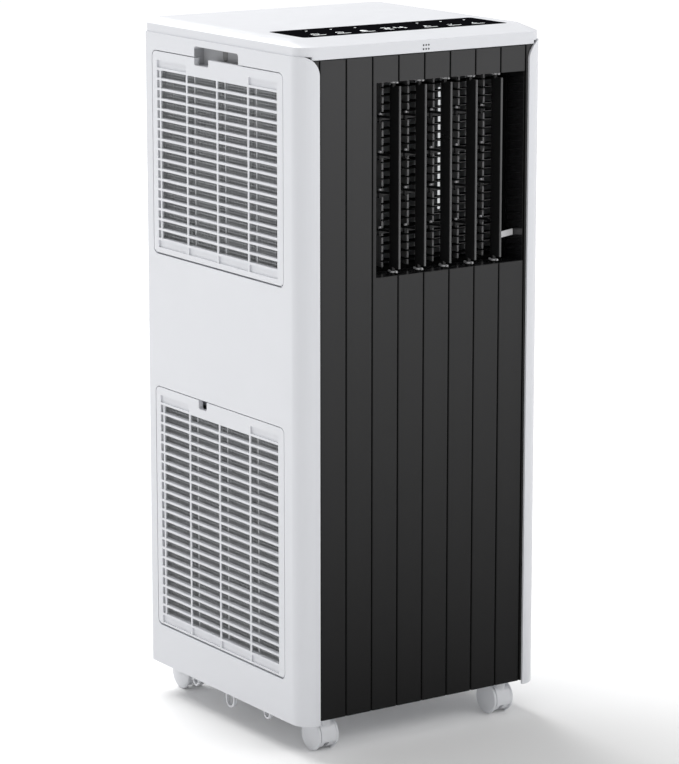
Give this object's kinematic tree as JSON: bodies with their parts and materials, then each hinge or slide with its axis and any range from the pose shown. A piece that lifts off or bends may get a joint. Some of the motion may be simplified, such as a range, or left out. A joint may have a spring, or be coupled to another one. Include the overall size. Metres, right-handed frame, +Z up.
{
  "type": "portable air conditioner",
  "caption": "Upright white room cooler on casters, with a black ribbed front, swinging outlet vanes, filtered side grilles and a round rear exhaust port.",
  "frame": {"origin": "on the floor, under the middle of the casing", "axes": "+Z up, -Y out of the front panel, +X to the right as seen from the front"},
  "size_m": [0.284, 0.285, 0.6947],
  "materials": {
    "casing_white": "satin, fine moulded texture",
    "panel_black": "satin black",
    "vane_black": "satin black",
    "inner_black": "matte",
    "touch_glass": "high gloss",
    "inner_grey": "matte",
    "filter_mesh": "matte",
    "coil_aluminium": "satin",
    "compressor_black": "satin",
    "copper": "satin",
    "steel": "satin",
    "board_green": "satin",
    "rubber_black": "matte",
    "caster_grey": "satin"
  },
  "bodies": {
    "root": {"base_pan": "caster_grey", "left_side_panel": "casing_white", "right_side_panel": "casing_white", "rear_cover": "casing_white", "top_cover": "casing_white", "front_panel": "panel_black", "casing_screws": "steel", "control_glass": "touch_glass", "control_board": "board_green", "outlet_duct": "inner_black", "outlet_grille": "inner_black", "swing_motor": "steel", "evaporator_coil": "coil_aluminium", "condenser_coil": "coil_aluminium", "compressor": "compressor_black", "compressor_feet": "rubber_black", "suction_line": "copper", "discharge_line": "copper", "liquid_line": "copper", "filter_drier": "copper", "evaporator_blower_housing": "inner_grey", "evaporator_motor": "steel", "condenser_blower_housing": "inner_grey", "condenser_motor": "steel", "drain_tray": "inner_grey", "electrical_box": "steel", "run_capacitor": "coil_aluminium", "exhaust_duct": "inner_grey", "exhaust_collar": "caster_grey", "cord_gland": "rubber_black"},
    "upper_cover": {"upper_grille_cover": "casing_white", "upper_air_filter": "filter_mesh"},
    "lower_cover": {"lower_grille_cover": "casing_white", "lower_air_filter": "filter_mesh"},
    "vane_1": {"vane_1": "vane_black"},
    "vane_2": {"vane_2": "vane_black"},
    "vane_3": {"vane_3": "vane_black"},
    "vane_4": {"vane_4": "vane_black"},
    "vane_5": {"vane_5": "vane_black"},
    "link_bars": {"vane_link_bars": "inner_black"},
    "evaporator_fan": {"evaporator_fan": "inner_black"},
    "condenser_fan": {"condenser_fan": "inner_black"},
    "drain_plug_upper": {"drain_plug_upper": "rubber_black"},
    "drain_plug_lower": {"drain_plug_lower": "rubber_black"},
    "caster_front_left": {"caster_front_left_fork": "caster_grey", "caster_front_left_axle": "steel"},
    "caster_front_left_wheel_a": {"caster_front_left_wheel_a": "caster_grey"},
    "caster_front_left_wheel_b": {"caster_front_left_wheel_b": "caster_grey"},
    "caster_front_right": {"caster_front_right_fork": "caster_grey", "caster_front_right_axle": "steel"},
    "caster_front_right_wheel_a": {"caster_front_right_wheel_a": "caster_grey"},
    "caster_front_right_wheel_b": {"caster_front_right_wheel_b": "caster_grey"},
    "caster_rear_left": {"caster_rear_left_fork": "caster_grey", "caster_rear_left_axle": "steel"},
    "caster_rear_left_wheel_a": {"caster_rear_left_wheel_a": "caster_grey"},
    "caster_rear_left_wheel_b": {"caster_rear_left_wheel_b": "caster_grey"},
    "caster_rear_right": {"caster_rear_right_fork": "caster_grey", "caster_rear_right_axle": "steel"},
    "caster_rear_right_wheel_a": {"caster_rear_right_wheel_a": "caster_grey"},
    "caster_rear_right_wheel_b": {"caster_rear_right_wheel_b": "caster_grey"}
  },
  "joints": [
    {"name": "upper_cover_tilt", "type": "hinge", "parent": "root", "child": "upper_cover", "pos_m": [-0.1394, 0.0085, 0.4624], "axis": [0, -1, 0], "range_deg": [0, 25]},
    {"name": "lower_cover_tilt", "type": "hinge", "parent": "root", "child": "lower_cover", "pos_m": [-0.1394, 0.0085, 0.0765], "axis": [0, -1, 0], "range_deg": [0, 25]},
    {"name": "vane_1_swing", "type": "hinge", "parent": "root", "child": "vane_1", "pos_m": [-0.02989, -0.13, 0.5578], "axis": [0, 0, 1], "range_deg": [-47, 23]},
    {"name": "vane_2_swing", "type": "hinge", "parent": "root", "child": "vane_2", "pos_m": [0, -0.13, 0.5578], "axis": [0, 0, 1], "range_deg": [-47, 23]},
    {"name": "vane_3_swing", "type": "hinge", "parent": "root", "child": "vane_3", "pos_m": [0.02989, -0.13, 0.5578], "axis": [0, 0, 1], "range_deg": [-47, 23]},
    {"name": "vane_4_swing", "type": "hinge", "parent": "root", "child": "vane_4", "pos_m": [0.05978, -0.13, 0.5578], "axis": [0, 0, 1], "range_deg": [-47, 23]},
    {"name": "vane_5_swing", "type": "hinge", "parent": "root", "child": "vane_5", "pos_m": [0.08967, -0.13, 0.5578], "axis": [0, 0, 1], "range_deg": [-47, 23]},
    {"name": "link_bars_pin", "type": "hinge", "parent": "vane_1", "child": "link_bars", "pos_m": [-0.03363, -0.11239, 0.5578], "axis": [0, 0, 1], "range_deg": [-23, 47]},
    {"name": "evaporator_fan_spin", "type": "hinge", "parent": "root", "child": "evaporator_fan", "pos_m": [0.02, 0.04, 0.558], "axis": [1, 0, 0], "continuous": true},
    {"name": "condenser_fan_spin", "type": "hinge", "parent": "root", "child": "condenser_fan", "pos_m": [-0.05, 0.005, 0.185], "axis": [1, 0, 0], "continuous": true},
    {"name": "drain_plug_upper_pull", "type": "slide", "parent": "root", "child": "drain_plug_upper", "axis": [0, 1, 0], "range_m": [0, 0.025]},
    {"name": "drain_plug_lower_pull", "type": "slide", "parent": "root", "child": "drain_plug_lower", "axis": [0, 1, 0], "range_m": [0, 0.025]},
    {"name": "caster_front_left_swivel", "type": "hinge", "parent": "root", "child": "caster_front_left", "pos_m": [-0.1058, -0.125, 0.034], "axis": [0, 0, 1], "continuous": true},
    {"name": "caster_front_left_wheel_a_roll", "type": "hinge", "parent": "caster_front_left", "child": "caster_front_left_wheel_a", "pos_m": [-0.1058, -0.1175, 0.016], "axis": [1, 0, 0], "continuous": true},
    {"name": "caster_front_left_wheel_b_roll", "type": "hinge", "parent": "caster_front_left", "child": "caster_front_left_wheel_b", "pos_m": [-0.1058, -0.1175, 0.016], "axis": [1, 0, 0], "continuous": true},
    {"name": "caster_front_right_swivel", "type": "hinge", "parent": "root", "child": "caster_front_right", "pos_m": [0.1058, -0.125, 0.034], "axis": [0, 0, 1], "continuous": true},
    {"name": "caster_front_right_wheel_a_roll", "type": "hinge", "parent": "caster_front_right", "child": "caster_front_right_wheel_a", "pos_m": [0.1058, -0.1175, 0.016], "axis": [1, 0, 0], "continuous": true},
    {"name": "caster_front_right_wheel_b_roll", "type": "hinge", "parent": "caster_front_right", "child": "caster_front_right_wheel_b", "pos_m": [0.1058, -0.1175, 0.016], "axis": [1, 0, 0], "continuous": true},
    {"name": "caster_rear_left_swivel", "type": "hinge", "parent": "root", "child": "caster_rear_left", "pos_m": [-0.1058, 0.1185, 0.034], "axis": [0, 0, 1], "continuous": true},
    {"name": "caster_rear_left_wheel_a_roll", "type": "hinge", "parent": "caster_rear_left", "child": "caster_rear_left_wheel_a", "pos_m": [-0.1058, 0.126, 0.016], "axis": [1, 0, 0], "continuous": true},
    {"name": "caster_rear_left_wheel_b_roll", "type": "hinge", "parent": "caster_rear_left", "child": "caster_rear_left_wheel_b", "pos_m": [-0.1058, 0.126, 0.016], "axis": [1, 0, 0], "continuous": true},
    {"name": "caster_rear_right_swivel", "type": "hinge", "parent": "root", "child": "caster_rear_right", "pos_m": [0.1058, 0.1185, 0.034], "axis": [0, 0, 1], "continuous": true},
    {"name": "caster_rear_right_wheel_a_roll", "type": "hinge", "parent": "caster_rear_right", "child": "caster_rear_right_wheel_a", "pos_m": [0.1058, 0.126, 0.016], "axis": [1, 0, 0], "continuous": true},
    {"name": "caster_rear_right_wheel_b_roll", "type": "hinge", "parent": "caster_rear_right", "child": "caster_rear_right_wheel_b", "pos_m": [0.1058, 0.126, 0.016], "axis": [1, 0, 0], "continuous": true}
  ],
  "couplings": [
    {"joint": "vane_2_swing", "follows": "vane_1_swing", "ratio": 1},
    {"joint": "vane_3_swing", "follows": "vane_1_swing", "ratio": 1},
    {"joint": "vane_4_swing", "follows": "vane_1_swing", "ratio": 1},
    {"joint": "vane_5_swing", "follows": "vane_1_swing", "ratio": 1},
    {"joint": "link_bars_pin", "follows": "vane_1_swing", "ratio": -1}
  ]
}
